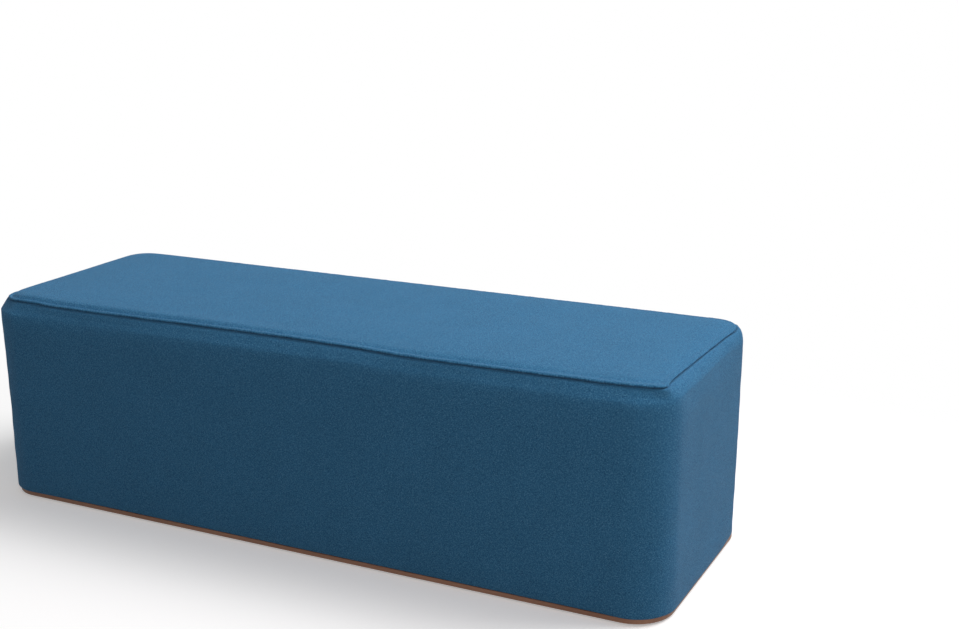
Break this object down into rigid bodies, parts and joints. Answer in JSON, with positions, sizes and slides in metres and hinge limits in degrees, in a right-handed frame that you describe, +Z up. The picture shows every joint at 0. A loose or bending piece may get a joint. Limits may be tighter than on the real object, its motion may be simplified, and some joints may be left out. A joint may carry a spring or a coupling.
{
  "type": "bench pouf",
  "caption": "Long rectangular upholstered bench pouf with rounded corners, a crowned seat edged by a raised seam, and a thin board base on low glides.",
  "frame": {"origin": "middle of the footprint, on the floor that the glides stand on", "axes": "+X along the length of the seat, +Y across it towards the back, +Z up"},
  "size_m": [1.4, 0.47, 0.41],
  "materials": {
    "cover_fabric": "woven, matt",
    "thread": "twisted polyester",
    "wadding": "bonded polyester wadding",
    "foam": "open-cell polyurethane foam",
    "plywood": "sanded plywood",
    "timber": "planed softwood",
    "base_board": "brown faced board, satin",
    "steel": "zinc plated",
    "glide_plastic": "moulded"
  },
  "bodies": {
    "root": {"back_panel": "plywood", "base_board": "base_board", "base_screws": "steel", "corner_post_back_left": "timber", "corner_post_back_right": "timber", "corner_post_front_left": "timber", "corner_post_front_right": "timber", "cover_staples": "steel", "deck_board": "plywood", "deck_screws": "steel", "frame_screws": "steel", "front_panel": "plywood", "glide_1": "glide_plastic", "glide_2": "glide_plastic", "glide_3": "glide_plastic", "glide_4": "glide_plastic", "glide_5": "glide_plastic", "glide_6": "glide_plastic", "glide_nails": "steel", "left_end_panel": "plywood", "left_rib": "plywood", "middle_rib": "plywood", "right_end_panel": "plywood", "right_rib": "plywood", "seam_thread": "thread", "side_cover": "cover_fabric", "side_foam": "foam", "top_cover": "cover_fabric", "top_foam": "foam", "top_wadding": "wadding"}
  },
  "joints": []
}
